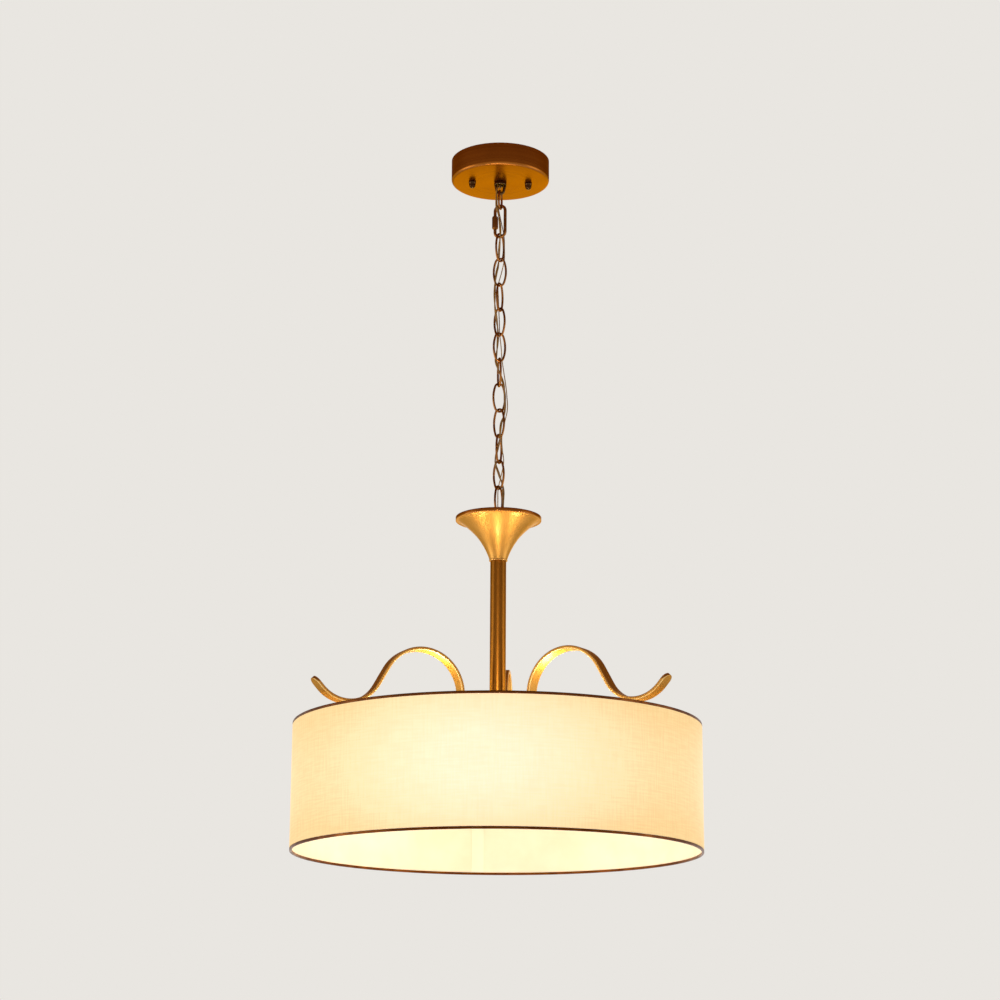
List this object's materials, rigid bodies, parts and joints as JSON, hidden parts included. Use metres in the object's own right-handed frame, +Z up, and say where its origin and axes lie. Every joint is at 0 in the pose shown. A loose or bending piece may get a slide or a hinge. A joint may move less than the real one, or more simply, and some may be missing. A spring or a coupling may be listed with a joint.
{
  "type": "drum chandelier",
  "caption": "Pendant chandelier: an open linen drum shade round a hub with side lamps and scroll arms, on a downrod with a trumpet cup, hung by a chain from a round canopy.",
  "frame": {"origin": "middle of the ceiling strap's top face, which lies against the ceiling box", "axes": "+Z up into the ceiling, against the way the lamp hangs; +X to the right and -Y towards the viewer, as in the picture"},
  "size_m": [0.45, 0.45, 0.8084],
  "materials": {
    "antique_gold": "satin antique gold plating on steel",
    "dark_bronze": "dark bronze lacquer, semi-gloss",
    "chain_brass": "antique brass plating on steel",
    "zinc_steel": "bright zinc-plated steel",
    "linen": "off-white linen weave",
    "liner_white": "matte white styrene liner",
    "opal_glass": "opal white glass",
    "lamp_cap": "bright rolled aluminium",
    "holder_porcelain": "glazed cream insulator",
    "block_nylon": "natural nylon",
    "flex_gold": "clear gold PVC insulation",
    "earth_wire": "copper-coloured insulation"
  },
  "bodies": {
    "ceiling_mount": {"ceiling_strap": "zinc_steel", "strap_stud_left": "zinc_steel", "strap_stud_right": "zinc_steel", "canopy_knob_left": "dark_bronze", "canopy_knob_right": "dark_bronze", "ground_screw": "zinc_steel", "terminal_block": "block_nylon", "canopy": "antique_gold", "canopy_loop": "dark_bronze", "canopy_loop_nut": "zinc_steel", "power_flex": "flex_gold", "ground_wire": "earth_wire"},
    "short_link": {"chain_link_00": "chain_brass"},
    "quick_link": {"quick_link": "chain_brass"},
    "link_sleeve": {"quick_link_sleeve": "chain_brass"},
    "link_01": {"chain_link_01": "chain_brass"},
    "link_02": {"chain_link_02": "chain_brass"},
    "link_03": {"chain_link_03": "chain_brass"},
    "link_04": {"chain_link_04": "chain_brass"},
    "link_05": {"chain_link_05": "chain_brass"},
    "link_06": {"chain_link_06": "chain_brass"},
    "link_07": {"chain_link_07": "chain_brass"},
    "link_08": {"chain_link_08": "chain_brass"},
    "link_09": {"chain_link_09": "chain_brass"},
    "link_10": {"chain_link_10": "chain_brass"},
    "link_11": {"chain_link_11": "chain_brass"},
    "lamp_frame": {"lower_loop": "dark_bronze", "loop_stem": "zinc_steel", "cup_nut": "zinc_steel", "trumpet_cup": "antique_gold", "downrod": "antique_gold", "rod_top_plug": "zinc_steel", "rod_collar": "antique_gold", "centre_nipple": "zinc_steel", "shade_spider": "dark_bronze", "shade_fabric": "linen", "shade_liner": "liner_white", "shade_seam": "liner_white", "shade_bottom_ring": "dark_bronze", "hub_spacer": "antique_gold", "hub": "antique_gold", "hub_nut": "zinc_steel", "hub_cover": "antique_gold", "finial": "antique_gold", "finial_nut": "zinc_steel", "scroll_arm_1": "antique_gold", "scroll_arm_2": "antique_gold", "scroll_arm_3": "antique_gold", "arm_screw_1": "antique_gold", "arm_screw_2": "antique_gold", "arm_screw_3": "antique_gold", "lamp_holder_1": "holder_porcelain", "lamp_holder_2": "holder_porcelain", "lamp_holder_3": "holder_porcelain"},
    "lamp_1": {"lamp_cap_1": "lamp_cap", "lamp_glass_1": "opal_glass"},
    "lamp_2": {"lamp_cap_2": "lamp_cap", "lamp_glass_2": "opal_glass"},
    "lamp_3": {"lamp_cap_3": "lamp_cap", "lamp_glass_3": "opal_glass"}
  },
  "joints": [
    {"name": "short_link_swing", "type": "hinge", "parent": "ceiling_mount", "child": "short_link", "pos_m": [0, 0, -0.0403], "axis": [1, 0, 0], "range_deg": [-30, 30], "deforming": ["power_flex", "ground_wire"]},
    {"name": "quick_link_swing", "type": "hinge", "parent": "short_link", "child": "quick_link", "pos_m": [0, 0, -0.05895], "axis": [0.309, 0.9511, 0], "range_deg": [-30, 30], "deforming": ["power_flex", "ground_wire"]},
    {"name": "link_01_swing", "type": "hinge", "parent": "quick_link", "child": "link_01", "pos_m": [0, 0, -0.094], "axis": [-0.9397, 0.342, 0], "range_deg": [-30, 30], "deforming": ["power_flex", "ground_wire"]},
    {"name": "link_02_swing", "type": "hinge", "parent": "link_01", "child": "link_02", "pos_m": [0, 0, -0.12385], "axis": [-0.6157, -0.788, 0], "range_deg": [-30, 30], "deforming": ["power_flex", "ground_wire"]},
    {"name": "link_03_swing", "type": "hinge", "parent": "link_02", "child": "link_03", "pos_m": [0, 0, -0.15425], "axis": [0.9781, -0.2079, 0], "range_deg": [-30, 30], "deforming": ["power_flex", "ground_wire"]},
    {"name": "link_04_swing", "type": "hinge", "parent": "link_03", "child": "link_04", "pos_m": [0, 0, -0.18465], "axis": [0.454, 0.891, 0], "range_deg": [-30, 30], "deforming": ["power_flex", "ground_wire"]},
    {"name": "link_05_swing", "type": "hinge", "parent": "link_04", "child": "link_05", "pos_m": [0, 0, -0.21505], "axis": [-0.809, 0.5878, 0], "range_deg": [-30, 30], "deforming": ["power_flex", "ground_wire"]},
    {"name": "link_06_swing", "type": "hinge", "parent": "link_05", "child": "link_06", "pos_m": [0, 0, -0.24545], "axis": [-0.9063, -0.4226, 0], "range_deg": [-30, 30], "deforming": ["power_flex", "ground_wire"]},
    {"name": "link_07_swing", "type": "hinge", "parent": "link_06", "child": "link_07", "pos_m": [0, 0, -0.27585], "axis": [0.225, -0.9744, 0], "range_deg": [-30, 30], "deforming": ["power_flex", "ground_wire"]},
    {"name": "link_08_swing", "type": "hinge", "parent": "link_07", "child": "link_08", "pos_m": [0, 0, -0.30625], "axis": [0.9135, 0.4067, 0], "range_deg": [-30, 30], "deforming": ["power_flex", "ground_wire"]},
    {"name": "link_09_swing", "type": "hinge", "parent": "link_08", "child": "link_09", "pos_m": [0, 0, -0.33665], "axis": [-0.788, 0.6157, 0], "range_deg": [-30, 30], "deforming": ["power_flex", "ground_wire"]},
    {"name": "link_10_swing", "type": "hinge", "parent": "link_09", "child": "link_10", "pos_m": [0, 0, -0.36705], "axis": [-0.3907, -0.9205, 0], "range_deg": [-30, 30], "deforming": ["power_flex", "ground_wire"]},
    {"name": "link_11_swing", "type": "hinge", "parent": "link_10", "child": "link_11", "pos_m": [0, 0, -0.39745], "axis": [0.7771, -0.6293, 0], "range_deg": [-30, 30], "deforming": ["power_flex", "ground_wire"]},
    {"name": "lamp_swing", "type": "hinge", "parent": "link_11", "child": "lamp_frame", "pos_m": [0, 0, -0.42785], "axis": [0.5736, 0.8192, 0], "range_deg": [-30, 30], "deforming": ["power_flex", "ground_wire"]},
    {"name": "sleeve_slide", "type": "slide", "parent": "quick_link", "child": "link_sleeve", "axis": [0, 0, 1], "range_m": [0, 0.0063], "deforming": ["power_flex", "ground_wire"]},
    {"name": "lamp_1_turn", "type": "hinge", "parent": "lamp_frame", "child": "lamp_1", "pos_m": [0, 0, -0.7364], "axis": [0.9003, 0.4352, 0], "continuous": true},
    {"name": "lamp_2_turn", "type": "hinge", "parent": "lamp_frame", "child": "lamp_2", "pos_m": [0, 0, -0.7364], "axis": [-0.8271, 0.5621, 0], "continuous": true},
    {"name": "lamp_3_turn", "type": "hinge", "parent": "lamp_frame", "child": "lamp_3", "pos_m": [0, 0, -0.7364], "axis": [-0.0732, -0.9973, 0], "continuous": true}
  ]
}
